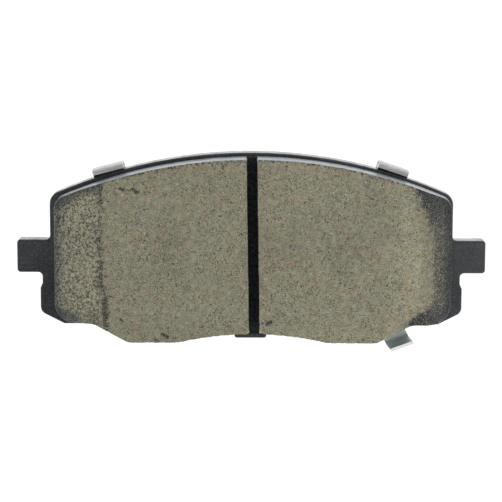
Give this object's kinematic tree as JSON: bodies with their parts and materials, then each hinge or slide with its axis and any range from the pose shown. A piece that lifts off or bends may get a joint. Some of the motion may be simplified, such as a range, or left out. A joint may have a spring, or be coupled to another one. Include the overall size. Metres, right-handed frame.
{
  "type": "brake pad",
  "caption": "Disc brake pad with an eared steel backing plate, slotted and chamfered lining, layered shims with hook tabs, and a bent wear indicator.",
  "frame": {"origin": "centre of the pad's back face (the outer shim's rear surface), level with the middle of the two ears", "axes": "+X across the pad from the left ear to the right ear as seen from the friction side, +Y backward from the friction face to the piston side, +Z outward from the disc's axle, towards the long arc"},
  "size_m": [0.1402, 0.0165, 0.0599],
  "materials": {
    "plate_paint": "satin",
    "bonding_resin": "satin",
    "underlayer_compound": "matte",
    "friction_compound": "matte",
    "shim_adhesive_film": "satin",
    "shim_rubber": "matte",
    "shim_core_steel": "satin",
    "shim_steel": "satin",
    "indicator_steel": "satin",
    "rivet_steel": "satin"
  },
  "bodies": {
    "root": {"backing_plate": "plate_paint", "bonding_adhesive": "bonding_resin", "underlayer": "underlayer_compound", "friction_block_left": "friction_compound", "friction_block_right": "friction_compound", "shim_adhesive": "shim_adhesive_film", "inner_shim_front_rubber": "shim_rubber", "inner_shim_core": "shim_core_steel", "inner_shim_rear_rubber": "shim_rubber", "outer_shim": "shim_steel", "wear_indicator": "indicator_steel", "wear_indicator_rivets": "rivet_steel"}
  },
  "joints": []
}
